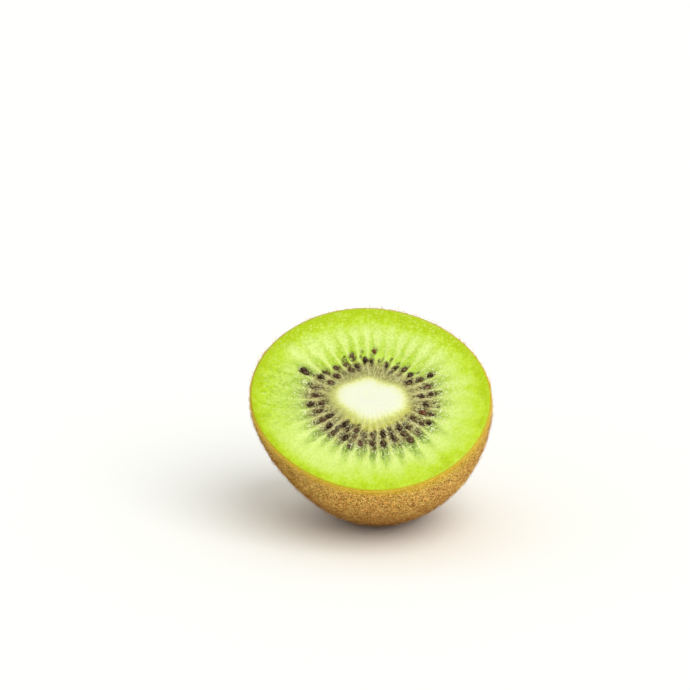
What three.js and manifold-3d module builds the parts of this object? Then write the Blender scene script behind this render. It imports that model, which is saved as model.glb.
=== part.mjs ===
// Half of a fuzzy green kiwi fruit, cut straight across the middle. It lies on its round side, with the cut
// face tilted forward. Millimetres, +Z up, the face looks up and towards -Y. The origin is the middle of the
// small flat spot that the half rests on.
import * as THREE from "three";
import { mergeVertices } from "three/addons/utils/BufferGeometryUtils.js";
import Module from "manifold-3d";

const { degToRad, smoothstep } = THREE.MathUtils;

// The half's own frame: the cut is the XY plane, its middle is the origin and the stem end points down -Z.
const LONG_HALF_AXIS = 26.5;
const SHORT_HALF_AXIS = 23.6;
const OVAL_TURN = degToRad(-20);
const UNEVEN_LOBES = [
  { count: 3, share: 0.006, turn: degToRad(36) },
  { count: 4, share: 0.006, turn: degToRad(9) },
];
const DEPTH = 32.8;
const FULLNESS = 2.1; // 2 gives an ellipsoid, more gives a blunter end
const SIDE_DENTS = { count: 3, share: 0.016, turn: degToRad(52), twist: 2.6 };

// How it lies
const TILT = degToRad(37);
const CUT_MIDDLE = new THREE.Vector3(-0.95, -7.1, 30.0);
const TABLE_SIZE = 80;

// The cut face
const RIM_WIDTH = 1.1;
const RIM_DROP = 0.45;
const FLESH_CROWN = 0.3;
const CORE = { x: 7.9, y: 5.4, rise: 0.35, edge: 1.4 };
const LOCULES = 33;
const LOCULE_BAND = { x: 12.6, y: 10.2, halfWidth: 3.8, sink: 0.25, groove: 0.3 };

// The seeds: how many show in each locule, counted from +X, and where their ring runs
const SEEDS_IN_LOCULE = [
  2, 1, 3, 1, 1, 1, 1, 0, 2, 1, 2, 2, 1, 2, 2, 1, 1, 2, 1, 2, 1, 2, 2, 3, 2, 2, 2, 2, 3, 2, 3, 2, 1,
];
const SEED_RING = { x: 12.3, y: 9.9, middleX: 0.6, middleY: -0.5 };
const SEED_STEP = 2.35;
const SEED = { length: 2.1, width: 1.3, thickness: 1.0, sunk: 0.12, sides: 5 };
const STRAY_SEED = { turn: degToRad(158), out: 16, size: 1.35 };

// The stem end: ring grooves and ridges round a sunken middle
const STEM_RINGS = [
  { radius: 8.6, width: 0.9, height: -0.15 },
  { radius: 7.2, width: 0.9, height: 0.2 },
  { radius: 5.7, width: 0.6, height: -0.6 },
  { radius: 4.4, width: 0.8, height: 0.35 },
  { radius: 3.0, width: 0.5, height: -0.5 },
  { radius: 2.1, width: 0.6, height: 0.25 },
];
const STEM_PIT = { radius: 1.5, depth: 0.8 };
const STEM_AREA = 10;

// How fine the faces are
const SEGMENTS = 2 * LOCULES;
const SIDE_STEPS = 15;
const FACE_SHARES = [0, 0.12, 0.21, 0.27, 0.33, 0.4, 0.48, 0.56, 0.66, 0.78, 0.89, 0.955, 0.983, 1];
const STEM_RADII = [9.3, 8.6, 7.9, 7.2, 6.4, 5.7, 5.0, 4.4, 3.7, 3.0, 2.5, 2.0, 1.4, 0.8, 0];

const MEAN_RADIUS = Math.sqrt(LONG_HALF_AXIS * SHORT_HALF_AXIS);

const wasm = await Module();
wasm.setup();

// A number between 0 and 1 that looks random and is always the same for one index and kind.
function draw(index, kind) {
  const value = Math.sin(index * 12.9898 + kind * 78.233) * 43758.5453;
  return value - Math.floor(value);
}

// The radius of an oval with half-axes x and y in the direction turn.
function ovalRadius(oval, turn) {
  return 1 / Math.hypot(Math.cos(turn) / oval.x, Math.sin(turn) / oval.y);
}

// The distance from the middle of the cut to the skin in the direction turn.
function outline(turn) {
  const oval = ovalRadius({ x: LONG_HALF_AXIS, y: SHORT_HALF_AXIS }, turn - OVAL_TURN);
  const swell = UNEVEN_LOBES.reduce(
    (sum, lobe) => sum + lobe.share * Math.cos(lobe.count * (turn - lobe.turn)),
    1,
  );
  return oval * swell;
}

// The height of the round side where it is `share` of the outline wide.
function sideHeight(share) {
  return -DEPTH * (1 - share ** FULLNESS) ** (1 / FULLNESS);
}

// The share by which the round side swells or dips in the direction turn, `down` of the way to the stem end.
function dent(turn, down) {
  const wave = Math.cos(SIDE_DENTS.count * (turn - SIDE_DENTS.turn) + SIDE_DENTS.twist * down);
  return SIDE_DENTS.share * Math.sin(Math.PI * down) * wave;
}

// The rings and the pit of the stem end, as a height outwards from the plain round side.
function stemRelief(radius) {
  const rings = STEM_RINGS.reduce(
    (sum, ring) => sum + ring.height * Math.exp(-(((radius - ring.radius) / ring.width) ** 2)),
    0,
  );
  return rings - STEM_PIT.depth * Math.exp(-((radius / STEM_PIT.radius) ** 2));
}

// The height of the cut face: core, sunken seed band with a groove at each locule, crowned flesh, round rim.
function faceHeight(radius, turn) {
  const toRim = outline(turn) - radius;
  const pastCore = radius - ovalRadius(CORE, turn);
  const core = CORE.rise * (1 - smoothstep(pastCore, -CORE.edge, CORE.edge));
  const fromBand = (radius - ovalRadius(LOCULE_BAND, turn)) / LOCULE_BAND.halfWidth;
  const band = Math.exp(-(fromBand ** 2));
  const groove = 0.5 - 0.5 * Math.cos(LOCULES * turn);
  const crown = FLESH_CROWN * smoothstep(radius, LOCULE_BAND.x, 0.8 * MEAN_RADIUS);
  const rim = RIM_DROP * Math.max(0, 1 - toRim / RIM_WIDTH) ** 2;
  return core - band * (LOCULE_BAND.sink + LOCULE_BAND.groove * groove) + crown - rim;
}

// The fruit's half as a lathe of shares of the outline, then pulled out to the oval and given its relief.
function halfGeometry() {
  const face = FACE_SHARES.slice(0, -1).map((share) => new THREE.Vector2(share, 0));
  const side = [];
  const stemShare = STEM_AREA / MEAN_RADIUS;
  const lastAngle = Math.acos(stemShare ** (FULLNESS / 2));
  for (let step = 0; step <= SIDE_STEPS; step++) {
    const share = Math.cos((lastAngle * step) / SIDE_STEPS) ** (2 / FULLNESS);
    side.push(new THREE.Vector2(share, sideHeight(share)));
  }
  const stem = STEM_RADII.map((radius) => {
    const share = radius / MEAN_RADIUS;
    return new THREE.Vector2(share, sideHeight(share));
  });
  const profile = [...face, ...side, ...stem].reverse();
  const geometry = new THREE.LatheGeometry(profile, SEGMENTS, Math.PI / 2);
  geometry.rotateX(Math.PI / 2);
  const position = geometry.getAttribute("position");
  for (let index = 0; index < position.count; index++) {
    const { x: share, y: level } = profile[index % profile.length];
    const turn = Math.atan2(position.getY(index), position.getX(index));
    const radius = share * outline(turn) * (1 + dent(turn, -level / DEPTH));
    const height = level === 0 ? faceHeight(radius, turn) : level - stemRelief(share * MEAN_RADIUS);
    position.setXYZ(index, radius * Math.cos(turn), radius * Math.sin(turn), height);
  }
  return geometry;
}

// One seed: a drop, blunt outwards and pointed to the core, flattened, half sunk in the face.
function seedGeometry(radius, turn, size) {
  const half = SEED.length / 2;
  const profile = [
    new THREE.Vector2(0, -half),
    new THREE.Vector2(0.3 * SEED.width, -0.5 * half),
    new THREE.Vector2(0.5 * SEED.width, 0.15 * half),
    new THREE.Vector2(0.36 * SEED.width, 0.75 * half),
    new THREE.Vector2(0, half),
  ];
  const geometry = new THREE.LatheGeometry(profile, SEED.sides);
  geometry.rotateZ(-Math.PI / 2);
  geometry.scale(size, size, (size * SEED.thickness) / SEED.width);
  geometry.rotateZ(turn);
  const height = faceHeight(radius, turn) - SEED.sunk;
  return geometry.translate(radius * Math.cos(turn), radius * Math.sin(turn), height);
}

// Every seed that shows: those of each locule in a row from the core outwards, and one that strayed.
function seedGeometries() {
  const seeds = [];
  SEEDS_IN_LOCULE.forEach((count, locule) => {
    for (let place = 0; place < count; place++) {
      const index = 3 * locule + place;
      const turn = ((locule + 0.5 + 0.5 * (draw(index, 1) - 0.5)) * 2 * Math.PI) / LOCULES;
      const ringX = SEED_RING.x * Math.cos(turn) + SEED_RING.middleX;
      const ringY = SEED_RING.y * Math.sin(turn) + SEED_RING.middleY;
      const along = (place - (count - 1) / 2) * SEED_STEP + 1.6 * (draw(index, 2) - 0.5);
      const radius = Math.hypot(ringX, ringY) + along;
      seeds.push(seedGeometry(radius, turn, 0.85 + 0.3 * draw(index, 3)));
    }
  });
  seeds.push(seedGeometry(STRAY_SEED.out, STRAY_SEED.turn, STRAY_SEED.size));
  return seeds;
}

// A closed geometry as a solid that can be joined and cut.
function solidOf(geometry) {
  const bare = geometry.clone();
  bare.deleteAttribute("normal");
  bare.deleteAttribute("uv");
  const merged = mergeVertices(bare, 1e-4);
  const vertProperties = new Float32Array(merged.getAttribute("position").array);
  const triVerts = new Uint32Array(merged.index.array);
  return new wasm.Manifold(new wasm.Mesh({ numProp: 3, vertProperties, triVerts }));
}

// A solid as a geometry that a mesh can show.
function geometryOf(solid) {
  const { vertProperties, triVerts } = solid.getMesh();
  const geometry = new THREE.BufferGeometry();
  geometry.setAttribute("position", new THREE.BufferAttribute(vertProperties, 3));
  geometry.setIndex(new THREE.BufferAttribute(triVerts, 1));
  geometry.computeVertexNormals();
  return geometry;
}

// Lays a geometry down as the half lies: tilted forward, with the flat spot's middle at the origin.
function lay(geometry) {
  return geometry.rotateX(TILT).translate(CUT_MIDDLE.x, CUT_MIDDLE.y, CUT_MIDDLE.z);
}

const table = new THREE.BoxGeometry(TABLE_SIZE, TABLE_SIZE, TABLE_SIZE).translate(0, 0, -TABLE_SIZE / 2);
let half = solidOf(lay(halfGeometry())).subtract(solidOf(table));
for (const seed of seedGeometries()) {
  half = half.add(solidOf(lay(seed)));
}

const flesh = new THREE.MeshStandardMaterial({ color: 0xc9e869, roughness: 0.45, metalness: 0 });
const kiwiHalf = new THREE.Mesh(geometryOf(half), flesh);
kiwiHalf.name = "kiwi_half";

const part = new THREE.Group();
part.add(kiwiHalf);
export default part;
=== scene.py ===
import math

import bmesh
import bpy
import numpy as np
from mathutils import Matrix, Vector
from mathutils.noise import noise as ripple


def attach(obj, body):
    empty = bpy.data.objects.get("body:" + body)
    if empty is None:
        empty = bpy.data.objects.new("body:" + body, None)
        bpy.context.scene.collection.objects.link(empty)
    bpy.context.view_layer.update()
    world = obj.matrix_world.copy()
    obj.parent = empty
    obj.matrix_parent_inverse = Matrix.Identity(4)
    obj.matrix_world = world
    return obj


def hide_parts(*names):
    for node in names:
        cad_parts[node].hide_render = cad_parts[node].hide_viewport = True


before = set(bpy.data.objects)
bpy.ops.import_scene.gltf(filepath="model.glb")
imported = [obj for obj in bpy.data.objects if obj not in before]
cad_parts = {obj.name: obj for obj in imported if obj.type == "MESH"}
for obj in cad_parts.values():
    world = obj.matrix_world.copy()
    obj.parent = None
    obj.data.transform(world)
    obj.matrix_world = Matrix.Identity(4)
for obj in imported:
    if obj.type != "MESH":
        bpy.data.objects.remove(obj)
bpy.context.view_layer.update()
MM = 0.001


# --------------------------------------------------------------------------------------------------------
# The camera: a long lens, half a metre away, a little above the fruit and slightly to its right. It aims
# at the fruit's top, left of its middle, so the fruit lies low in the frame and a little to the right.

CAMERA_DISTANCE = 500 * MM
CAMERA_AIM = Vector((-7.3, 0.0, 39.2)) * MM
CAMERA_AZIMUTH = math.radians(7.1)
CAMERA_ELEVATION = math.radians(16.6)
CAMERA_LENS = 120.0
CAMERA_SENSOR = 36.0
CAMERA_CLIP = 10 * MM

sight = Vector((
    -math.sin(CAMERA_AZIMUTH) * math.cos(CAMERA_ELEVATION),
    math.cos(CAMERA_AZIMUTH) * math.cos(CAMERA_ELEVATION),
    -math.sin(CAMERA_ELEVATION),
))
camera_data = bpy.data.cameras.new("camera")
camera_data.lens = CAMERA_LENS
camera_data.sensor_width = CAMERA_SENSOR
camera_data.clip_start = CAMERA_CLIP
camera = bpy.data.objects.new("camera", camera_data)
camera.location = CAMERA_AIM - sight * CAMERA_DISTANCE
camera.rotation_euler = sight.to_track_quat("-Z", "Y").to_euler()
bpy.context.scene.collection.objects.link(camera)
bpy.context.scene.camera = camera


# --------------------------------------------------------------------------------------------------------
# The flesh: the green body of the half with its white core and the band of locules, cut flat and wet. It
# is one closed form, spun from a profile, pulled out to the fruit's oval and given the relief of the cut.

# The oval of the cut and the round side behind it
LONG_HALF_AXIS = 26.5 * MM
SHORT_HALF_AXIS = 23.6 * MM
OVAL_TURN = math.radians(-20)
UNEVEN_LOBES = (
    # how many lobes, their share of the radius, direction of the first
    (3, 0.006, math.radians(36)),
    (4, 0.006, math.radians(9)),
)
DEPTH = 32.8 * MM
FULLNESS = 2.1
DENT_COUNT = 3
DENT_SHARE = 0.016
DENT_TURN = math.radians(52)
DENT_TWIST = 2.6
MEAN_RADIUS = math.sqrt(LONG_HALF_AXIS * SHORT_HALF_AXIS)

# How the half lies
TILT = math.radians(37)
CUT_MIDDLE = Vector((-0.95, -7.1, 30.0)) * MM

# The relief of the cut
RIM_WIDTH = 1.1 * MM
RIM_DROP = 0.45 * MM
FLESH_CROWN = 0.3 * MM
CORE = (7.9 * MM, 5.4 * MM)
CORE_RISE = 0.35 * MM
CORE_EDGE = 1.4 * MM
LOCULES = 33
BAND = (12.6 * MM, 10.2 * MM)
BAND_HALF_WIDTH = 3.8 * MM
BAND_SINK = 0.25 * MM
BAND_GROOVE = 0.3 * MM

# How the flesh fits in the skin: the hidden side keeps a share of its depth, clear of the stem's pit
SKIN_THICKNESS = 0.24 * MM
FLESH_IN_SKIN = 0.8 * SKIN_THICKNESS
HIDDEN_SHARE = 0.95

# The white core, from which everything else fans out
PITH = (7.15 * MM, 5.4 * MM)
PITH_MIDDLE = (0.3 * MM, -0.8 * MM)
PITH_LOBES = (
    # how many lobes, their share of the radius, direction of the first
    (2, 0.07, math.radians(-30)),
    (3, 0.035, math.radians(20)),
    (4, 0.05, 0.0),
    (5, 0.018, math.radians(31)),
    (6, 0.018, math.radians(-20)),
)
PITH_TO_SEEDS = 4.7 * MM

# The seeds, with how many show in each locule, anticlockwise from the right
SEEDS_IN_LOCULE = (
    2, 1, 3, 1, 1, 1, 1, 0, 2, 1, 2, 2, 1, 2, 2, 1, 1, 2, 1, 2, 1, 2, 2, 3, 2, 2, 2, 2, 3, 2, 3, 2, 1,
)
SEED_RING = (12.3 * MM, 9.9 * MM)
SEED_RING_MIDDLE = (0.6 * MM, -0.5 * MM)
SEED_RING_PRESSED = (
    # millimetres inwards, then in degrees the middle of the place, full up to, none from
    (1.5, 55, 18, 38),
    (-1.3, 101, 9, 20),
    (0.6, 222, 12, 28),
)
SEED_STEP = 2.35 * MM
SEED_SPREAD = 1.6 * MM
LOCULE_SPREAD = 0.5
SEED_LENGTH = 2.1 * MM
SEED_WIDTH = 1.3 * MM
SEED_THICKNESS = 1.0 * MM
SEED_SUNK = 0.12 * MM
SEED_HOLLOW = 0.1 * MM
STRAY_SEED = (16 * MM, math.radians(158), 1.35)  # distance from the middle, direction, size
VEILED_SEEDS = 110
VEILED_SPREAD = 4.8 * MM

# How fine the form is, and how far past the core its hidden side counts, in millimetres
FACE_RINGS = 110
FACE_STEPS = 18 * LOCULES
HIDDEN_RINGS = 18
FAR_OUT = 20.0


def draw(index, kind):
    """A number between 0 and 1 that looks random and is always the same for one index and kind."""
    value = math.sin(index * 12.9898 + kind * 78.233) * 43758.5453
    return value - math.floor(value)


def smooth(value, low, high):
    """0 up to low, 1 from high on, and a soft step between them."""
    x = min(1.0, max(0.0, (value - low) / (high - low)))
    return x * x * (3 - 2 * x)


def oval_radius(oval, turn):
    """The radius of an oval with those two half-axes in the direction turn."""
    return 1 / math.hypot(math.cos(turn) / oval[0], math.sin(turn) / oval[1])


def swell(lobes, turn):
    """How much an oval with those lobes is larger in the direction turn."""
    return 1 + sum(share * math.cos(count * (turn - lobe)) for count, share, lobe in lobes)


def outline(turn):
    """From the middle of the cut to the outside of the skin."""
    return oval_radius((LONG_HALF_AXIS, SHORT_HALF_AXIS), turn - OVAL_TURN) * swell(UNEVEN_LOBES, turn)


def side_height(share):
    """The height of the round side where it is `share` of the outline wide."""
    return -DEPTH * max(0.0, 1 - share**FULLNESS) ** (1 / FULLNESS)


def dent(turn, down):
    """The share by which the round side swells or dips, `down` of the way to the stem end."""
    wave = math.cos(DENT_COUNT * (turn - DENT_TURN) + DENT_TWIST * down)
    return DENT_SHARE * math.sin(math.pi * down) * wave


def face_height(radius, turn):
    """The relief of the cut: core, sunken band with a groove at each locule, crowned flesh, rounded rim."""
    past_core = radius - oval_radius(CORE, turn)
    core = CORE_RISE * (1 - smooth(past_core, -CORE_EDGE, CORE_EDGE))
    band = math.exp(-(((radius - oval_radius(BAND, turn)) / BAND_HALF_WIDTH) ** 2))
    groove = 0.5 - 0.5 * math.cos(LOCULES * turn)
    crown = FLESH_CROWN * smooth(radius, BAND[0], 0.8 * MEAN_RADIUS)
    rim = RIM_DROP * max(0.0, 1 - (outline(turn) - radius) / RIM_WIDTH) ** 2
    return core - band * (BAND_SINK + BAND_GROOVE * groove) + crown - rim


def near_turn(turn, middle, full, none):
    """1 within `full` degrees of the direction `middle`, and 0 from `none` degrees on."""
    off = abs((math.degrees(turn) - middle + 180) % 360 - 180)
    return 1 - smooth(off, full, none)


def seed_ring(turn):
    """From the middle of the cut to the ring of seeds, which is pressed in or out at some places."""
    ring_x = SEED_RING[0] * math.cos(turn) + SEED_RING_MIDDLE[0]
    ring_y = SEED_RING[1] * math.sin(turn) + SEED_RING_MIDDLE[1]
    pressed = sum(inwards * near_turn(turn, *where) for inwards, *where in SEED_RING_PRESSED)
    return math.hypot(ring_x, ring_y) - pressed * MM


def seed_places():
    """Distance from the middle, direction and size of each seed that shows."""
    places = []
    for locule, count in enumerate(SEEDS_IN_LOCULE):
        for place in range(count):
            index = 3 * locule + place
            turn = (locule + 0.5 + LOCULE_SPREAD * (draw(index, 1) - 0.5)) * 2 * math.pi / LOCULES
            along = (place - (count - 1) / 2) * SEED_STEP + SEED_SPREAD * (draw(index, 2) - 0.5)
            places.append((seed_ring(turn) + along, turn, 0.85 + 0.3 * draw(index, 3)))
    places.append(STRAY_SEED)
    return places


def spin_round(points, steps):
    """A form spun round the Z axis from a profile. It is closed where the profile's ends lie on the axis."""
    form = bmesh.new()
    profile = [form.verts.new((radius, 0, height)) for radius, height in points]
    edges = [form.edges.new(pair) for pair in zip(profile, profile[1:])]
    bmesh.ops.spin(
        form, geom=profile + edges, cent=(0, 0, 0), axis=(0, 0, 1), angle=2 * math.pi,
        steps=steps, use_merge=True, use_duplicate=False,
    )
    bmesh.ops.remove_doubles(form, verts=form.verts, dist=1e-6)
    bmesh.ops.recalc_face_normals(form, faces=form.faces)
    return form


def lay_down(form):
    """Tilts a form from the cut's own frame to how the half lies."""
    place = Matrix.Translation(CUT_MIDDLE) @ Matrix.Rotation(TILT, 4, "X")
    bmesh.ops.transform(form, matrix=place, verts=form.verts)


def mesh_of(name, form):
    """The form as a mesh of that name. The form itself is used up."""
    mesh = bpy.data.meshes.new(name)
    form.to_mesh(mesh)
    form.free()
    return mesh


def finished(name, mesh, material):
    """Makes the mesh a piece of that material, which moves with the fruit and replaces its plain solid."""
    mesh.materials.append(material)
    mesh.polygons.foreach_set("use_smooth", [True] * len(mesh.polygons))
    piece = bpy.data.objects.new(name, mesh)
    bpy.context.scene.collection.objects.link(piece)
    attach(piece, "root")
    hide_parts("kiwi_half")


def color(red, green, blue):
    """A colour given as it looks on a screen, 0 to 255, turned to the light that Blender counts in."""
    return tuple(
        value / 255 / 12.92 if value <= 10.3 else ((value / 255 + 0.055) / 1.055) ** 2.4
        for value in (red, green, blue)
    ) + (1.0,)


def new_material(name):
    """A material with its tree and its Principled shader."""
    material = bpy.data.materials.new(name)
    material.use_nodes = True
    return material, material.node_tree, material.node_tree.nodes["Principled BSDF"]


def node(tree, kind, sockets=None, **settings):
    """A shader node with its settings, and each socket in sockets set to a value or joined to an output."""
    made = tree.nodes.new(kind)
    for setting, value in settings.items():
        setattr(made, setting, value)
    for socket, value in (sockets or {}).items():
        if isinstance(value, bpy.types.NodeSocket):
            tree.links.new(value, made.inputs[socket])
        else:
            made.inputs[socket].default_value = value
    return made


def calc(tree, operation, *values):
    """One step of arithmetic on values or outputs."""
    return node(tree, "ShaderNodeMath", dict(enumerate(values)), operation=operation).outputs[0]


def band_of(tree, value, low, high, start=0.0, end=1.0):
    """A soft step of value from start at low to end at high."""
    sockets = {"Value": value, "From Min": low, "From Max": high, "To Min": start, "To Max": end}
    return node(tree, "ShaderNodeMapRange", sockets, interpolation_type="SMOOTHSTEP").outputs[0]


def blend(tree, factor, under, over, kind="MIX"):
    """Lays one colour over another by a factor."""
    sockets = {"Factor": factor, "A": under, "B": over}
    made = node(tree, "ShaderNodeMix", None, data_type="RGBA", blend_type=kind)
    for name, value in sockets.items():
        socket = next(s for s in made.inputs if s.name == name and s.enabled)
        if isinstance(value, bpy.types.NodeSocket):
            tree.links.new(value, socket)
        else:
            socket.default_value = value
    return next(s for s in made.outputs if s.enabled)


def noise(tree, vector, scale, detail=2.0, roughness=0.5):
    """Plain noise of that many features to the metre, or to the unit of its vector."""
    sockets = {"Vector": vector, "Scale": scale, "Detail": detail, "Roughness": roughness}
    return node(tree, "ShaderNodeTexNoise", sockets).outputs["Fac"]


def cut_place(tree):
    """The place on the fruit in millimetres, in the cut's own frame."""
    at = node(tree, "ShaderNodeTexCoord").outputs["Object"]
    turned = node(tree, "ShaderNodeMapping", {"Vector": at}, vector_type="TEXTURE")
    turned.inputs["Location"].default_value = CUT_MIDDLE
    turned.inputs["Rotation"].default_value = (TILT, 0, 0)
    turned.inputs["Scale"].default_value = (MM, MM, MM)
    return turned.outputs[0]


flesh_profile = [(MEAN_RADIUS * ring / FACE_RINGS, 0.0) for ring in range(FACE_RINGS + 1)]
for ring in range(1, HIDDEN_RINGS + 1):
    share = math.cos(math.pi / 2 * ring / HIDDEN_RINGS) ** (2 / FULLNESS)
    flesh_profile.append((MEAN_RADIUS * share, side_height(share)))
flesh_profile[-1] = (0.0, -DEPTH)
flesh_form = spin_round(flesh_profile, FACE_STEPS)

FIELDS = ("share", "wedge", "plume", "tail", "haze", "wall", "heart", "top", "bottom", "left", "shade")
layers = {name: flesh_form.verts.layers.float.new(name) for name in FIELDS}
fan_layer = flesh_form.verts.layers.float_vector.new("fan")
seeds = seed_places()
veiled_seeds = []
for index in range(VEILED_SEEDS):
    locule = math.floor(draw(index, 51) * LOCULES)
    turn = (locule + 0.5 + LOCULE_SPREAD * (draw(index, 52) - 0.5)) * 2 * math.pi / LOCULES
    out = seed_ring(turn) + VEILED_SPREAD * (draw(index, 53) - 0.42)
    veiled_seeds.append((out, turn, 0.45 + 0.4 * draw(index, 54)))


def nearness(spots, x, y, start, end):
    """1 within the closest seed's outline grown `start` times, and 0 from where it is grown `end` times."""
    gap_x = x - spots[:, 0]
    gap_y = y - spots[:, 1]
    along = gap_x * spots[:, 2] + gap_y * spots[:, 3]
    across = gap_y * spots[:, 2] - gap_x * spots[:, 3]
    reach = np.hypot(along / (0.5 * SEED_LENGTH), across / (0.5 * SEED_WIDTH)) / spots[:, 4]
    return 1 - smooth(reach.min(), start, end)


def spots_of(places):
    """Middle, direction and size of each seed as an array."""
    return np.array([
        (out * math.cos(turn), out * math.sin(turn), math.cos(turn), math.sin(turn), size)
        for out, turn, size in places
    ])


seed_spots = spots_of(seeds)
veiled_spots = spots_of(veiled_seeds)
wall_places = [k + 0.3 * (draw(k % LOCULES, 11) - 0.5) for k in range(-1, LOCULES + 2)]


def fan(x, y):
    """The fruit's inside fans out square to the core's oval. Gives the turn at which the line through a
    place crosses the ring of seeds, the line's turn round the oval, and how far the place is past the core.
    """
    a, b = PITH
    x, y = x - PITH_MIDDLE[0], y - PITH_MIDDLE[1]
    foot = math.atan2(a * y, b * x)
    if math.hypot(x / a, y / b) > 1:
        for _ in range(5):
            sine, cosine = math.sin(foot), math.cos(foot)
            off = (a * a - b * b) * sine * cosine - a * x * sine + b * y * cosine
            foot -= off / ((a * a - b * b) * math.cos(2 * foot) - a * x * cosine - b * y * sine)
    way = Vector((b * math.cos(foot), a * math.sin(foot))).normalized()
    ring_x = PITH_MIDDLE[0] + a * math.cos(foot) + PITH_TO_SEEDS * way.x
    ring_y = PITH_MIDDLE[1] + b * math.sin(foot) + PITH_TO_SEEDS * way.y
    around = math.atan2(y, x)
    past_core = math.hypot(x, y) - oval_radius(PITH, around) * swell(PITH_LOBES, around)
    return math.atan2(ring_y, ring_x) % (2 * math.pi), foot, past_core


def flesh_fields(turn, share, x, y):
    """What the flesh is at a place of the cut, each as a number from 0 to 1, and its place in the fan."""
    ring_turn, foot, past_core = fan(x, y)
    pitch = ring_turn * LOCULES / (2 * math.pi)
    pitch += 0.16 * ripple(Vector((9 * math.cos(ring_turn), 9 * math.sin(ring_turn), 10 * share)))
    locule = next(k for k in range(len(wall_places) - 1) if wall_places[k + 1] > pitch)
    low, high = wall_places[locule], wall_places[locule + 1]
    off_middle = abs((pitch - low) / (high - low) - 0.5)
    off_wall = 0.5 - off_middle
    kind = locule % LOCULES
    beside = round((pitch - low) / (high - low)) + locule
    top = near_turn(turn, 92, 45, 78)
    bottom = near_turn(turn, 288, 50, 75)
    left = near_turn(turn, 182, 10, 34)
    right = near_turn(turn, 2, 20, 45)
    milky = near_turn(turn, 230, 12, 40) * smooth(share, 0.62, 0.76) * (1 - smooth(share, 0.86, 0.97))

    # Vivid wedges in line with the locules, and pale plumes between them that open outwards
    tip = 0.73 + 0.08 * (draw(kind, 14) - 0.5)
    half_width = 0.42 - 0.24 * smooth(share, 0.48, tip)
    wedge = smooth(off_middle, half_width + 0.1, half_width - 0.1)
    wedge *= smooth(share, 0.38, 0.48) * (1 - smooth(share, tip - 0.13, tip + 0.05))
    wedge *= 0.55 + 0.45 * draw(kind, 15)
    width = 0.08 + 0.04 * top + (0.18 + 0.06 * bottom + 0.22 * draw(beside, 16)) * smooth(share, 0.48, 0.72)
    plume = math.exp(-((off_wall / width) ** 2)) * smooth(past_core, 1.4 * MM, 3.0 * MM)
    plume_end = 0.82 + 0.1 * draw(beside, 13)
    plume *= 1 - smooth(share, plume_end - 0.13, plume_end + 0.02)
    plume *= (
        (1 - 0.6 * left - 0.45 * right) * (0.6 + 0.4 * draw(beside, 17))
        * (0.7 + 0.3 * smooth(share, 0.52, 0.66))
    )
    plume = max(plume, 0.6 * milky)

    # Grey-green tails of the locules below and at the sides, and the haze of the ring of seeds
    low_right = near_turn(turn, 324, 12, 28)
    low_left = near_turn(turn, 205, 8, 22)
    tip = 0.8 - 0.05 * right - 0.08 * left + 0.07 * low_right + 0.1 * (draw(kind, 12) - 0.5)
    half_width = 0.47 - 0.4 * smooth(share, 0.5, tip + 0.02)
    soft = 0.08 + 0.12 * smooth(share, 0.55, tip)
    tail = smooth(off_middle, half_width + soft, half_width - soft) * (1 - top)
    tail *= smooth(share, 0.36, 0.46) * (1 - smooth(share, tip - 0.24, tip + 0.03))
    tail *= (1 - 0.5 * right) * (1 - 0.45 * low_left)
    edge = 0.54 - 0.15 * top + 0.05 * (0.5 - off_middle) + 0.03 * (draw(kind, 18) - 0.5)
    haze = 1 - smooth(share, edge - 0.06, edge + 0.06)
    wall_end = 0.64 + 0.1 * draw(beside, 20)
    wall = math.exp(-((off_wall / 0.065) ** 2)) * smooth(past_core, 0.8 * MM, 2.0 * MM)
    wall *= (1 - smooth(share, wall_end - 0.08, wall_end + 0.04)) * (0.35 + 0.65 * draw(beside, 19))
    heart = smooth(off_middle, 0.42, 0.14) * (1 - 0.7 * top)
    shade = max(nearness(seed_spots, x, y, 0.9, 1.5), 0.9 * nearness(veiled_spots, x, y, 0.7, 1.25))
    fields = {
        "share": share, "wedge": wedge, "plume": plume, "tail": tail, "haze": haze, "wall": wall,
        "heart": heart, "top": top, "bottom": bottom, "left": left, "shade": shade,
    }
    return fields, Vector((math.cos(foot), math.sin(foot), past_core / MM))


for vert in flesh_form.verts:
    turn = math.atan2(vert.co.y, vert.co.x) % (2 * math.pi)
    share = math.hypot(vert.co.x, vert.co.y) / MEAN_RADIUS
    inner = (outline(turn) - FLESH_IN_SKIN) * share
    if vert.co.z < -1e-7:
        radius = inner * (1 + dent(turn, -vert.co.z / DEPTH))
        vert.co = (radius * math.cos(turn), radius * math.sin(turn), HIDDEN_SHARE * vert.co.z)
        vert[layers["share"]] = 1.0
        vert[fan_layer] = (math.cos(turn), math.sin(turn), FAR_OUT)
        continue
    x, y = inner * math.cos(turn), inner * math.sin(turn)
    fields, vert[fan_layer] = flesh_fields(turn, share, x, y)
    for name, value in fields.items():
        vert[layers[name]] = value
    vert.co = (x, y, face_height(inner, turn) - SEED_HOLLOW * fields["shade"])
lay_down(flesh_form)

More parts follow.
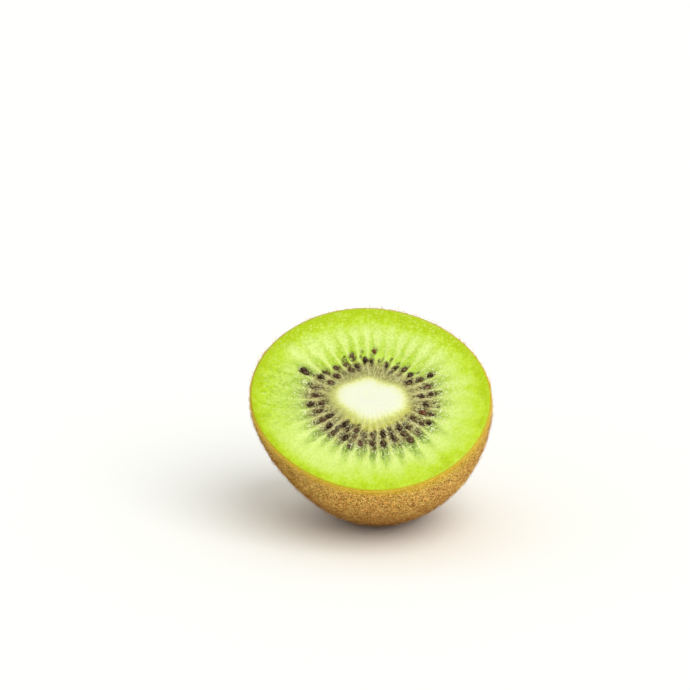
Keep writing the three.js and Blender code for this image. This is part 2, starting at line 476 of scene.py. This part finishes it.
UNDER_SKIN_GREEN = color(176, 203, 0)
OUTER_GREEN = color(190, 219, 40)
INNER_GREEN = color(201, 226, 93)
WEDGE_GREEN = color(174, 208, 26)
WEDGE_DARK = color(146, 184, 14)
WEDGE_LIGHT = color(208, 230, 96)
PLUME_GREEN = color(220, 238, 142)
LEFT_GREEN = color(168, 202, 48)
LEFT_DARK = color(146, 184, 28)
LEFT_LIGHT = color(220, 242, 138)
DULL_GREEN = color(166, 182, 96)
TAIL_START = color(126, 146, 66)
TAIL_END = color(146, 182, 60)
TAIL_LIGHT = color(188, 210, 110)
TAIL_DARK = color(84, 96, 42)
HAZE_BROWN = color(172, 158, 102)
HEART_BROWN = color(130, 112, 74)
HAZE_LIGHT = color(194, 181, 126)
HAZE_DARK = color(84, 64, 38)
WALL_GREEN = color(214, 228, 132)
WALL_BROWN = color(202, 193, 134)
RING_OLIVE = color(160, 156, 94)
RING_LOW = color(198, 195, 84)
RING_NEAR_CORE = color(198, 202, 106)
RING_LIGHT = color(204, 202, 144)
RING_DARK = color(98, 88, 48)
SEED_SHADE = color(70, 52, 24)
CELL_DARK = color(166, 202, 14)
CELL_LIGHT = color(226, 242, 146)
PAINTED_GLINT = color(232, 238, 182)
CORE_FRINGE = color(222, 227, 138)
CORE_WHITE = color(231, 234, 190)
CORE_MIDDLE = color(234, 237, 212)
RIM_YELLOW = color(196, 176, 30)

flesh_material, tree, shader = new_material("flesh")


def attribute(name):
    """A number that the mesh of the material in hand holds at each place."""
    return node(tree, "ShaderNodeAttribute", None, attribute_name=name).outputs["Fac"]


def times(*factors):
    """The product of values or outputs."""
    product = factors[0]
    for factor in factors[1:]:
        product = calc(tree, "MULTIPLY", product, factor)
    return product


def fan_noise(round_scale, out_scale, detail=3.0, roughness=0.65):
    """Noise in strokes that fan out from the core, with its own scale across them and outwards."""
    fan_place = node(tree, "ShaderNodeAttribute", None, attribute_name="fan").outputs["Vector"]
    sockets = {0: fan_place, 1: (round_scale, round_scale, out_scale)}
    stretched = node(tree, "ShaderNodeVectorMath", sockets, operation="MULTIPLY").outputs[0]
    return noise(tree, stretched, 1.0, detail, roughness)


def uneven(value, pattern, reach):
    """A value shifted up and down by a pattern, by up to half of reach."""
    return calc(tree, "ADD", value, times(calc(tree, "SUBTRACT", pattern, 0.5), reach))


place = cut_place(tree)
share, wedge, plume, tail, haze, wall, heart, top, bottom, left, shade = map(attribute, FIELDS)
fan_vector = node(tree, "ShaderNodeAttribute", None, attribute_name="fan").outputs["Vector"]
past_core = node(tree, "ShaderNodeSeparateXYZ", {0: fan_vector}).outputs["Z"]
brush = fan_noise(24.0, 0.9)
strokes = fan_noise(38.0, 0.6)
fibre = fan_noise(30.0, 0.3)
cells = noise(tree, place, 2.0, 3.0, 0.6)
mottle = noise(tree, place, 1.4, 3.0, 0.7)
patches = noise(tree, place, 0.22, 2.0, 0.5)
blotches = noise(tree, place, 0.6, 2.0, 0.5)
smears = fan_noise(9.0, 0.35, 2.0, 0.55)
not_top = calc(tree, "SUBTRACT", 1.0, top)

# From the rim inwards: the plain colours of the flesh
wavy_share = uneven(uneven(uneven(share, patches, 0.14), blotches, 0.14), smears, 0.3)
paler_below = calc(tree, "SUBTRACT", times(bottom, 0.05), times(top, 0.045))
wavy_share = calc(tree, "SUBTRACT", wavy_share, paler_below)
flesh_color = blend(tree, band_of(tree, wavy_share, 0.98, 0.87), UNDER_SKIN_GREEN, OUTER_GREEN)
flesh_color = blend(tree, band_of(tree, wavy_share, 0.9, 0.72), flesh_color, INNER_GREEN)

# Vivid wedges and pale plumes, then a deeper green with dark and light strokes on the left side
green = times(wedge, band_of(tree, not_top, 0.0, 1.0, 1.0, 0.5), band_of(tree, fibre, 0.3, 0.55, 0.65, 1.0))
flesh_color = blend(tree, green, flesh_color, WEDGE_GREEN)
on_wedge = times(wedge, band_of(tree, share, 0.44, 0.52), band_of(tree, share, 0.86, 0.74))
dark_spots = times(on_wedge, band_of(tree, mottle, 0.5, 0.4), 0.7)
flesh_color = blend(tree, dark_spots, flesh_color, WEDGE_DARK)
light_spots = times(on_wedge, band_of(tree, mottle, 0.52, 0.62), 0.5)
flesh_color = blend(tree, light_spots, flesh_color, WEDGE_LIGHT)
pale = times(plume, band_of(tree, fibre, 0.3, 0.6, 0.6, 1.0))
flesh_color = blend(tree, pale, flesh_color, PLUME_GREEN)
flesh_color = blend(tree, times(left, band_of(tree, share, 0.94, 0.62), 0.5), flesh_color, LEFT_GREEN)
on_left = times(left, band_of(tree, share, 0.5, 0.6), band_of(tree, share, 0.98, 0.86))
flesh_color = blend(tree, times(on_left, band_of(tree, brush, 0.52, 0.4), 0.6), flesh_color, LEFT_DARK)
flesh_color = blend(tree, times(on_left, band_of(tree, strokes, 0.53, 0.66), 0.45), flesh_color, LEFT_LIGHT)

# Grey-green tails with dark and light strokes, on flesh that is dull at the ring of seeds
dull = times(not_top, band_of(tree, share, 0.72, 0.56), 0.45)
flesh_color = blend(tree, dull, flesh_color, DULL_GREEN)
tail_color = blend(tree, band_of(tree, share, 0.58, 0.72), TAIL_START, TAIL_END)
tail_color = blend(tree, band_of(tree, strokes, 0.52, 0.62), tail_color, TAIL_LIGHT)
tail_color = blend(tree, band_of(tree, strokes, 0.48, 0.38), tail_color, TAIL_DARK)
flesh_color = blend(tree, times(tail, band_of(tree, brush, 0.36, 0.6, 1.0, 0.8)), flesh_color, tail_color)

# The brown-grey haze of the ring of seeds, mottled dark and light, and the pale walls of the locules
haze_color = blend(tree, heart, HAZE_BROWN, HEART_BROWN)
haze_color = blend(tree, band_of(tree, mottle, 0.5, 0.6, 0.0, 0.8), haze_color, HAZE_LIGHT)
haze_color = blend(tree, band_of(tree, mottle, 0.48, 0.38), haze_color, HAZE_DARK)
flesh_color = blend(tree, times(haze, band_of(tree, brush, 0.3, 0.6, 0.95, 0.75)), flesh_color, haze_color)
wall_color = blend(tree, haze, WALL_GREEN, WALL_BROWN)
flesh_color = blend(tree, times(wall, band_of(tree, brush, 0.35, 0.55, 0.6, 0.95)), flesh_color, wall_color)

# The olive ring round the core, brushed with fine strokes, yellower below
low = band_of(tree, bottom, 0.4, 1.0)
ring_color = blend(tree, low, RING_OLIVE, RING_LOW)
place_x = node(tree, "ShaderNodeSeparateXYZ", {0: place}).outputs["X"]
at_right = band_of(tree, place_x, 4.0, 8.0)
near_core = times(band_of(tree, past_core, 2.2, 0.6), band_of(tree, not_top, 0.0, 1.0, 0.3, 0.85))
near_core = times(near_core, band_of(tree, at_right, 0.0, 1.0, 1.0, 0.5))
ring_color = blend(tree, near_core, ring_color, RING_NEAR_CORE)
ring_color = blend(tree, band_of(tree, brush, 0.5, 0.62, 0.0, 0.8), ring_color, RING_LIGHT)
dark_strokes = times(band_of(tree, brush, 0.46, 0.36), band_of(tree, low, 0.0, 1.0, 0.6, 0.3))
ring_color = blend(tree, dark_strokes, ring_color, RING_DARK)
ring_width = calc(tree, "ADD", times(top, 1.6), times(low, 0.3))
ring_width = calc(tree, "SUBTRACT", ring_width, times(at_right, 0.7))
ring_width = calc(tree, "ADD", ring_width, 2.6)
inside_ring = uneven(calc(tree, "SUBTRACT", ring_width, past_core), mottle, 3.0)
flesh_color = blend(tree, band_of(tree, inside_ring, 0.0, 1.4), flesh_color, ring_color)

# Seeds that lie under the flesh, and the shade round those that show
shade_strength = times(shade, band_of(tree, mottle, 0.4, 0.6, 1.0, 0.4))
flesh_color = blend(tree, shade_strength, flesh_color, SEED_SHADE)

# Fine cells, and painted highlights: small bright glints of wet flesh round the seeds and more on the right
outer = band_of(tree, share, 0.4, 0.6)
grainy = times(outer, band_of(tree, top, 0.0, 1.0, 0.14, 0.34))
flesh_color = blend(tree, times(band_of(tree, cells, 0.5, 0.34), grainy), flesh_color, CELL_DARK)
flesh_color = blend(tree, times(band_of(tree, cells, 0.5, 0.68), grainy), flesh_color, CELL_LIGHT)
cell_light = band_of(tree, cells, 0.35, 0.65, 0.97, 1.02)
cell_grey = node(tree, "ShaderNodeCombineColor", {0: cell_light, 1: cell_light, 2: cell_light}).outputs[0]
flesh_color = blend(tree, 1.0, flesh_color, cell_grey, "MULTIPLY")
# Painted glints: light flecks that stand in for highlights on the wet flesh
glints = band_of(tree, fan_noise(44.0, 2.4, 1.0, 0.5), 0.55, 0.63)
on_glint = times(glints, band_of(tree, noise(tree, place, 1.1, 1.0, 0.5), 0.36, 0.5))
right = band_of(tree, place_x, 9.0, 14.0)
glints_on_right = times(right, band_of(tree, share, 0.86, 0.66, 0.0, 0.4))
glint_spread = calc(tree, "ADD", band_of(tree, share, 0.76, 0.6, 0.1, 0.9), glints_on_right)
glint_strength = times(band_of(tree, past_core, 1.0, 3.0), glint_spread, band_of(tree, top, 0.0, 1.0, 1.0, 0.35))
glint_strength = times(glint_strength, band_of(tree, haze, 0.0, 1.0, 1.0, 0.8))
flesh_color = blend(tree, times(on_glint, glint_strength, 0.8), flesh_color, PAINTED_GLINT)

# The white core, with an edge frayed by the strokes
core_edge = uneven(past_core, brush, 3.4)
flesh_color = blend(tree, band_of(tree, core_edge, 0.7, -0.5, 0.0, 0.95), flesh_color, CORE_FRINGE)
flesh_color = blend(tree, band_of(tree, core_edge, 0.1, -1.1), flesh_color, CORE_WHITE)
flesh_color = blend(tree, band_of(tree, past_core, -0.4, -2.6), flesh_color, CORE_MIDDLE)

# The last of the flesh under the skin is yellow
flesh_color = blend(tree, band_of(tree, share, 0.985, 1.0), flesh_color, RIM_YELLOW)

grain = calc(tree, "ADD", times(cells, 0.6), times(brush, 0.4))
bump = node(tree, "ShaderNodeBump", {"Height": grain, "Strength": 0.4, "Distance": 0.25 * MM})
tree.links.new(flesh_color, shader.inputs["Base Color"])
tree.links.new(bump.outputs[0], shader.inputs["Normal"])
tree.links.new(band_of(tree, cells, 0.3, 0.7, 0.26, 0.42), shader.inputs["Roughness"])
shader.inputs["Subsurface Weight"].default_value = 0.15
shader.inputs["Subsurface Radius"].default_value = (0.9, 1.2, 0.35)
shader.inputs["Subsurface Scale"].default_value = 0.5 * MM
shader.inputs["Specular IOR Level"].default_value = 0.18
finished("flesh", mesh_of("flesh", flesh_form), flesh_material)


# --------------------------------------------------------------------------------------------------------
# The seeds: small dark drops, blunt outwards and pointed to the core, half sunk in the locules. All are one
# joined mesh, each a spun drop, flattened and laid along its locule.

SEED_SIDES = 12
SEED_PROFILE = (
    # radius as a share of the width, place along as a share of half the length
    (0.0, -1.0),
    (0.16, -0.86),
    (0.34, -0.55),
    (0.46, -0.2),
    (0.5, 0.15),
    (0.44, 0.52),
    (0.28, 0.84),
    (0.0, 1.0),
)
SEED_DARK = color(40, 24, 8)
SEED_BROWN = color(78, 54, 36)
SEED_RED = color(100, 46, 26)
SEED_FILM_AND_GLINT = color(140, 120, 80)

seed_points = [(SEED_WIDTH * radius, 0.5 * SEED_LENGTH * along) for radius, along in SEED_PROFILE]
seeds_form = bmesh.new()
seed_tint = seeds_form.verts.layers.float.new("tint")
for index, (out, turn, size) in enumerate(seeds):
    drop = spin_round(seed_points, SEED_SIDES)
    bmesh.ops.smooth_vert(
        drop, verts=drop.verts, factor=0.2, use_axis_x=True, use_axis_y=True, use_axis_z=True,
    )
    squeeze = Matrix.Diagonal((SEED_THICKNESS / SEED_WIDTH, 1, 1, 1))
    along = Matrix.Rotation(math.pi / 2, 4, "Y")
    roll = Matrix.Rotation(0.7 * (draw(index, 21) - 0.5), 4, "X")
    pitch = Matrix.Rotation(0.9 * (draw(index, 22) - 0.5), 4, "Y")
    yaw = Matrix.Rotation(turn + 0.6 * (draw(index, 23) - 0.5), 4, "Z")
    height = face_height(out, turn) - SEED_SUNK - 0.4 * MM * draw(index, 25)
    size *= 0.84 + 0.2 * draw(index, 26)
    place = Matrix.Translation((out * math.cos(turn), out * math.sin(turn), height))
    matrix = place @ yaw @ pitch @ roll @ Matrix.Scale(size, 4) @ along @ squeeze
    bmesh.ops.transform(drop, matrix=matrix, verts=drop.verts)
    lay_down(drop)
    one = mesh_of("one_seed", drop)
    before = len(seeds_form.verts)
    seeds_form.from_mesh(one)
    bpy.data.meshes.remove(one)
    seeds_form.verts.ensure_lookup_table()
    for vert in seeds_form.verts[before:]:
        vert[seed_tint] = draw(index, 24)

seed_material, tree, shader = new_material("seed")
tint = attribute("tint")
mottle = noise(tree, node(tree, "ShaderNodeTexCoord").outputs["Object"], 2200.0, 3.0, 0.6)
seed_color = blend(tree, band_of(tree, tint, 0.2, 0.9), SEED_DARK, SEED_BROWN)
seed_color = blend(tree, band_of(tree, tint, 0.95, 0.98), seed_color, SEED_RED)
# Light mottle on the seeds: partly a thin film of flesh, partly painted glints of wet seeds
seed_color = blend(tree, band_of(tree, mottle, 0.5, 0.62, 0.0, 0.75), seed_color, SEED_FILM_AND_GLINT)
pits = node(tree, "ShaderNodeBump", {"Height": mottle, "Strength": 0.3, "Distance": 0.1 * MM})
tree.links.new(seed_color, shader.inputs["Base Color"])
tree.links.new(pits.outputs[0], shader.inputs["Normal"])
shader.inputs["Roughness"].default_value = 0.25
shader.inputs["Specular IOR Level"].default_value = 0.1
finished("seeds", mesh_of("seeds", seeds_form), seed_material)


# --------------------------------------------------------------------------------------------------------
# The skin: a thin dry shell round the flesh, open at the cut, tan-brown with dark specks. At the stem end
# it has the ring ridges and the pit that the stalk leaves.

STEM_RINGS = (
    # radius, width and height, which is below zero for a groove
    (8.6 * MM, 0.9 * MM, -0.15 * MM),
    (7.2 * MM, 0.9 * MM, 0.2 * MM),
    (5.7 * MM, 0.6 * MM, -0.6 * MM),
    (4.4 * MM, 0.8 * MM, 0.35 * MM),
    (3.0 * MM, 0.5 * MM, -0.5 * MM),
    (2.1 * MM, 0.6 * MM, 0.25 * MM),
)
STEM_PIT_RADIUS = 1.5 * MM
STEM_PIT_DEPTH = 0.8 * MM
STEM_AREA = 10 * MM
SKIN_STEPS = 300
SKIN_RINGS = 60
STEM_STEPS = 50
RIM_HEIGHT = FLESH_CROWN - RIM_DROP
RIM_BLEND = 1.5 * MM
# Painted shade low down: it darkens from the first height over the floor to the second
LOW_SHADE_START = 13 * MM
LOW_SHADE_END = 1 * MM
SKIN_TAN = color(228, 154, 76)
SKIN_PALE = color(234, 173, 72)
SKIN_STREAK = color(114, 62, 14)
SKIN_SHADED_LEFT = color(144, 98, 2)
SKIN_GOLD = color(214, 180, 14)
SKIN_BEHIND = color(222, 186, 104)
SKIN_GRAIN = color(255, 228, 132)
SKIN_SPECK = color(88, 44, 12)
SKIN_NEAR_RIM = color(214, 172, 20)
SKIN_RIM = color(230, 204, 96)
SKIN_LOW_SHADE = color(124, 58, 34)
SCAR_RINGS = (
    # radius and width in millimetres, strength, colour
    (5.9, 1.5, 1.0, color(106, 60, 38)),
    (4.5, 0.8, 0.8, color(216, 178, 100)),
    (3.1, 0.8, 1.0, color(84, 46, 26)),
    (2.1, 0.6, 0.8, color(196, 160, 92)),
    (0.3, 1.4, 0.9, color(128, 118, 80)),
)


def stem_relief(radius):
    """The ridges, grooves and pit of the stem end, outwards from the plain round side."""
    rings = sum(height * math.exp(-(((radius - ring) / width) ** 2)) for ring, width, height in STEM_RINGS)
    return rings - STEM_PIT_DEPTH * math.exp(-((radius / STEM_PIT_RADIUS) ** 2))


def skin_point(share, height, turn):
    """A point of the skin's outside, in the cut's own frame."""
    radius = share * outline(turn) * (1 + dent(turn, -height / DEPTH))
    height -= stem_relief(share * MEAN_RADIUS)
    return Vector((radius * math.cos(turn), radius * math.sin(turn), height))


last_angle = math.acos((STEM_AREA / MEAN_RADIUS) ** (FULLNESS / 2))
skin_shares = [math.cos(last_angle * ring / SKIN_RINGS) ** (2 / FULLNESS) for ring in range(SKIN_RINGS + 1)]
skin_shares += [STEM_AREA / MEAN_RADIUS * (1 - ring / STEM_STEPS) for ring in range(1, STEM_STEPS + 1)]
skin_form = spin_round([(MEAN_RADIUS * share, side_height(share)) for share in skin_shares], SKIN_STEPS)
down_layer = skin_form.verts.layers.float.new("down")
stem_layer = skin_form.verts.layers.float.new("stem")
for vert in skin_form.verts:
    turn = math.atan2(vert.co.y, vert.co.x)
    share = math.hypot(vert.co.x, vert.co.y) / MEAN_RADIUS
    vert[down_layer] = -vert.co.z / MM
    vert[stem_layer] = share * MEAN_RADIUS / MM
    rise = RIM_HEIGHT * (1 - smooth(-vert.co.z, 0.0, RIM_BLEND))
    vert.co = skin_point(share, vert.co.z, turn) + Vector((0, 0, rise))
bmesh.ops.recalc_face_normals(skin_form, faces=skin_form.faces)
stem_end = min(skin_form.verts, key=lambda vert: vert.co.z)
if stem_end.link_faces[0].normal.z > 0:
    bmesh.ops.reverse_faces(skin_form, faces=skin_form.faces)
bmesh.ops.solidify(skin_form, geom=skin_form.faces[:], thickness=SKIN_THICKNESS)
lay_down(skin_form)
for vert in skin_form.verts:
    vert.co.z = max(0.0, vert.co.z)

# The skin and its hairs change their tone together over the fruit, and both take painted shade on the left
# and low down: this group blends a colour towards another tone along one direction
tone_and_shade_group = bpy.data.node_groups.new("tone_and_shade_group", "ShaderNodeTree")
for name in ("Color", "Tone"):
    tone_and_shade_group.interface.new_socket(name, in_out="INPUT", socket_type="NodeSocketColor")
for name in ("Place", "Start", "End", "Strength"):
    tone_and_shade_group.interface.new_socket(name, in_out="INPUT", socket_type="NodeSocketFloat")
tone_and_shade_group.interface.new_socket("Color", in_out="OUTPUT", socket_type="NodeSocketColor")
given = node(tone_and_shade_group, "NodeGroupInput").outputs
reached = band_of(tone_and_shade_group, given["Place"], given["Start"], given["End"], 0.0, given["Strength"])
node(tone_and_shade_group, "NodeGroupOutput", {"Color": blend(tone_and_shade_group, reached, given["Color"], given["Tone"])})


def tone_and_shade_blend(tree, under, tone, place, start, end, strength):
    """Blends a colour towards a tone, which at some places is painted shade, as place goes from start to
    end.
    """
    sockets = {
        "Color": under, "Tone": tone, "Place": place, "Start": start, "End": end, "Strength": strength,
    }
    return node(tree, "ShaderNodeGroup", sockets, node_tree=tone_and_shade_group).outputs["Color"]


def floor_height(tree):
    """How high over the floor a place is, in metres."""
    at = node(tree, "ShaderNodeTexCoord").outputs["Object"]
    return node(tree, "ShaderNodeSeparateXYZ", {0: at}).outputs["Z"]


skin_material, tree, shader = new_material("skin")
place = cut_place(tree)
down = attribute("down")
stem = attribute("stem")
blotch = noise(tree, place, 0.16, 3.0, 0.6)
streaks = noise(tree, place, 1.7, 3.0, 0.7)
fine = noise(tree, place, 3.2, 3.0, 0.7)
speck_cells = node(tree, "ShaderNodeTexVoronoi", {"Vector": place, "Scale": 2.5, "Randomness": 1.0})
speck_size = noise(tree, place, 0.9, 1.0)
split = node(tree, "ShaderNodeSeparateXYZ", {0: place}).outputs
aside, behind = split["X"], split["Y"]

# Tan with dark streaks, painted shade on the left, golden near the cut, paler and finer behind, with light
# grain
coarse = band_of(tree, behind, -8.0, 8.0, 1.0, 0.7)
skin_color = blend(tree, band_of(tree, blotch, 0.35, 0.65), SKIN_TAN, SKIN_PALE)
skin_color = blend(tree, times(band_of(tree, streaks, 0.48, 0.57), coarse), skin_color, SKIN_STREAK)
# Painted shade: darker and yellower towards the left side
skin_color = tone_and_shade_blend(tree, skin_color, SKIN_SHADED_LEFT, aside, -4.0, -16.0, 0.55)
gold_end = band_of(tree, aside, 4.0, 22.0, 2.2, 6.0)
gold = band_of(tree, calc(tree, "DIVIDE", down, gold_end), 1.0, 0.1, 0.0, 0.95)
gold = times(gold, band_of(tree, streaks, 0.3, 0.6, 1.0, 0.7))
skin_color = blend(tree, gold, skin_color, SKIN_GOLD)
skin_color = tone_and_shade_blend(tree, skin_color, SKIN_BEHIND, behind, -8.0, 8.0, 0.35)
light_grain = times(band_of(tree, fine, 0.49, 0.56), band_of(tree, behind, -8.0, 8.0, 1.0, 0.75))
skin_color = blend(tree, light_grain, skin_color, SKIN_GRAIN)

# Dark specks, the yellow edge at the cut, and painted shade: darker brown low down near the floor
speck_limit = band_of(tree, speck_size, 0.35, 0.7, 0.12, 0.38)
speck = band_of(tree, calc(tree, "SUBTRACT", speck_cells.outputs["Distance"], speck_limit), 0.05, -0.05)
skin_color = blend(tree, times(speck, band_of(tree, down, 3.0, 9.0, 1.0, 0.6)), skin_color, SKIN_SPECK)
rim = times(band_of(tree, down, 0.3, 0.05), band_of(tree, streaks, 0.45, 0.6, 0.2, 0.8))
skin_color = blend(tree, band_of(tree, down, 2.0, 0.4, 0.0, 0.6), skin_color, SKIN_NEAR_RIM)
skin_color = blend(tree, rim, skin_color, SKIN_RIM)
skin_color = tone_and_shade_blend(tree, skin_color, SKIN_LOW_SHADE, floor_height(tree), LOW_SHADE_START, LOW_SHADE_END, 0.6)

# The scar of the stalk: patchy rings, dark and light in turn
on_scar = band_of(tree, down, 25.0, 28.0)
wavy_stem = uneven(stem, noise(tree, place, 0.5, 2.0), 1.6)
for ring, width, strength, scar_color in SCAR_RINGS:
    off_ring = calc(tree, "ABSOLUTE", calc(tree, "SUBTRACT", wavy_stem, ring))
    patchy = band_of(tree, streaks, 0.36, 0.52, 0.45 * strength, strength)
    on_ring = times(on_scar, band_of(tree, off_ring, width, 0.3 * width), patchy)
    skin_color = blend(tree, on_ring, skin_color, scar_color)
rough = calc(tree, "ADD", times(streaks, 0.6), times(fine, 0.4))
bump = node(tree, "ShaderNodeBump", {"Height": rough, "Strength": 0.7, "Distance": 0.4 * MM})
tree.links.new(skin_color, shader.inputs["Base Color"])
tree.links.new(bump.outputs[0], shader.inputs["Normal"])
shader.inputs["Roughness"].default_value = 0.8
shader.inputs["Specular IOR Level"].default_value = 0.03
finished("skin", mesh_of("skin", skin_form), skin_material)


# --------------------------------------------------------------------------------------------------------
# The fuzz: short stiff golden hairs that lie over the skin in all directions. Each is a thin curved spike
# with three sides, and they are joined by length into three meshes.

HAIR_WIDTH = 0.08 * MM
HAIR_ROOT = 0.05 * MM
HAIR_CURL = 0.45
HAIR_WAVE = 0.12
OVER_FLOOR = 0.05 * MM
SCAR_RADIUS = 5 * MM
SIDE_SAMPLES = 200
STEP_ON_SIDE = 0.004  # in radians
HAIRS = (
    # name, how many, length, sections, seed of the draws
    ("fuzz_short", 15000, 0.55 * MM, 2, 31),
    ("fuzz_middle", 12000, 1.0 * MM, 2, 32),
    ("fuzz_long", 8000, 1.6 * MM, 4, 33),
)
HAIR_BROWN = color(162, 94, 30)
HAIR_GOLD = color(255, 219, 124)
HAIR_BEHIND = color(232, 196, 112)
HAIR_SHADED_LEFT = color(144, 98, 2)
HAIR_AT_RIM = color(246, 216, 96)
HAIR_LOW_SHADE = color(150, 86, 52)


def surface_frames(count, seed):
    """Random points spread evenly over the skin but for the scar, each with the ways out and to the stem."""
    rng = np.random.default_rng(seed)
    angles = np.linspace(0, math.pi / 2, SIDE_SAMPLES)
    shares = np.cos(angles) ** (2 / FULLNESS)
    heights = -DEPTH * np.sin(angles) ** (2 / FULLNESS)
    lengths = np.hypot(np.diff(shares) * MEAN_RADIUS, np.diff(heights))
    area = np.concatenate([[0], np.cumsum(lengths * 0.5 * (shares[1:] + shares[:-1]))])
    picked = np.interp(rng.random(count) * area[-1], area, angles)
    turns = rng.random(count) * 2 * math.pi
    frames = []
    for angle, turn in zip(picked, turns):
        share = math.cos(angle) ** (2 / FULLNESS)
        if share * MEAN_RADIUS < SCAR_RADIUS:
            continue
        height = side_height(share)
        here = skin_point(share, height, turn)
        other = math.cos(min(angle + STEP_ON_SIDE, math.pi / 2)) ** (2 / FULLNESS)
        downwards = skin_point(other, side_height(other), turn) - here
        sideways = skin_point(share, height, turn + STEP_ON_SIDE) - here
        if sideways.length < 1e-7 or downwards.length < 1e-7:
            continue
        out = downwards.cross(sideways).normalized()
        if out.dot(here + Vector((0, 0, 0.3 * DEPTH))) < 0:
            out = -out
        frames.append((here, out, downwards.normalized()))
    return frames, rng


fuzz_material, tree, shader = new_material("fuzz")
tint = attribute("tint")
split = node(tree, "ShaderNodeSeparateXYZ", {0: cut_place(tree)}).outputs
fuzz_color = blend(tree, band_of(tree, tint, 0.3, 0.75), HAIR_BROWN, HAIR_GOLD)
fuzz_color = tone_and_shade_blend(tree, fuzz_color, HAIR_BEHIND, split["Y"], -8.0, 8.0, 0.25)
# Painted shade: the hairs darker towards the left side
fuzz_color = tone_and_shade_blend(tree, fuzz_color, HAIR_SHADED_LEFT, split["X"], -4.0, -16.0, 0.5)
fuzz_color = tone_and_shade_blend(tree, fuzz_color, HAIR_AT_RIM, split["Z"], -4.5, -0.5, 0.65)
# Painted shade: the hairs browner low down near the floor
fuzz_color = tone_and_shade_blend(tree, fuzz_color, HAIR_LOW_SHADE, floor_height(tree), LOW_SHADE_START, LOW_SHADE_END, 0.5)
tree.links.new(fuzz_color, shader.inputs["Base Color"])
shader.inputs["Roughness"].default_value = 0.6
shader.inputs["Specular IOR Level"].default_value = 0.05

lie = np.array(Matrix.Rotation(TILT, 3, "X"))


def straight_hair(sections):
    """The points and triangles of a spike one unit long with three sides and that many sections."""
    form = bmesh.new()
    bmesh.ops.create_cone(form, cap_ends=False, segments=3, radius1=1.0, radius2=0.02, depth=1.0)
    long_edges = [edge for edge in form.edges if abs(edge.verts[0].co.z - edge.verts[1].co.z) > 0.5]
    bmesh.ops.subdivide_edges(form, edges=long_edges, cuts=sections - 1)
    bmesh.ops.triangulate(form, faces=form.faces)
    form.verts.index_update()
    points = np.array([vert.co for vert in form.verts]) + np.array((0, 0, 0.5))
    faces = np.array([[vert.index for vert in face.verts] for face in form.faces])
    form.free()
    return points, faces


for name, count, length, sections, seed in HAIRS:
    hair_points, hair_faces = straight_hair(sections)
    frames, rng = surface_frames(count, seed)
    points, faces, tints = [], [], []
    for here, out, downwards in frames:
        heading = rng.normal(0, 1.0)
        way = Matrix.Rotation(heading * math.pi, 3, out) @ downwards
        rise = 0.35 + 0.5 * rng.random()
        reach = length * (0.6 + 0.8 * rng.random())
        curl = rng.normal(0, HAIR_CURL)
        side = out.cross(way)
        along = hair_points[:, 2]
        bend = np.outer(along * reach, way) + np.outer(reach * rise * along * (1 - 0.55 * along), out)
        phase = 2 * math.pi * rng.random()
        wave = HAIR_WAVE * (np.sin(5 * along + phase) - math.sin(phase))
        bend += np.outer(reach * (curl * along * along + wave), side)
        thick = HAIR_WIDTH * 0.5 * (0.7 + 0.6 * rng.random())
        ring = np.outer(hair_points[:, 0] * thick, side) + np.outer(hair_points[:, 1] * thick, out)
        hair = (bend + ring + np.array(here) - np.array(out) * HAIR_ROOT) @ lie.T + np.array(CUT_MIDDLE)
        if hair[:, 2].min() < OVER_FLOOR:
            continue
        faces.append(hair_faces + len(hair_points) * len(points))
        points.append(hair)
        tints.append(np.full(len(hair_points), rng.random()))
    mesh = bpy.data.meshes.new(name)
    mesh.from_pydata(np.concatenate(points).tolist(), [], np.concatenate(faces).tolist())
    mesh.attributes.new("tint", "FLOAT", "POINT").data.foreach_set("value", np.concatenate(tints))
    finished(name, mesh, fuzz_material)


# --------------------------------------------------------------------------------------------------------
# The studio: a plain near-white floor that runs far back, a bright even surround, and one large soft lamp
# that stands high up in front, to the right of the fruit.

FLOOR_SIZE = 6.0
FLOOR_WHITE = (0.965, 0.975, 0.95, 1.0)
SURROUND_WHITE = (1.0, 1.0, 0.97, 1.0)
SURROUND_STRENGTH = 0.7
LAMP_STRENGTH = 1.52
LAMP_SPREAD = math.radians(55)
LAMP_WAY = Vector((-0.46, 0.42, -0.75))

floor_form = bmesh.new()
bmesh.ops.create_grid(floor_form, x_segments=1, y_segments=1, size=FLOOR_SIZE)
floor_mesh = mesh_of("floor", floor_form)
floor_material, tree, shader = new_material("floor")
shader.inputs["Base Color"].default_value = FLOOR_WHITE
shader.inputs["Roughness"].default_value = 0.9
floor_mesh.materials.append(floor_material)
floor = bpy.data.objects.new("floor", floor_mesh)
bpy.context.scene.collection.objects.link(floor)

world = bpy.data.worlds.new("surround")
world.use_nodes = True
background = world.node_tree.nodes["Background"]
background.inputs["Color"].default_value = SURROUND_WHITE
background.inputs["Strength"].default_value = SURROUND_STRENGTH
bpy.context.scene.world = world

lamp_data = bpy.data.lights.new("soft_lamp", "SUN")
lamp_data.energy = LAMP_STRENGTH
lamp_data.angle = LAMP_SPREAD
lamp = bpy.data.objects.new("soft_lamp", lamp_data)
lamp.rotation_euler = LAMP_WAY.to_track_quat("-Z", "Y").to_euler()
bpy.context.scene.collection.objects.link(lamp)
bpy.context.scene.view_settings.view_transform = "Standard"
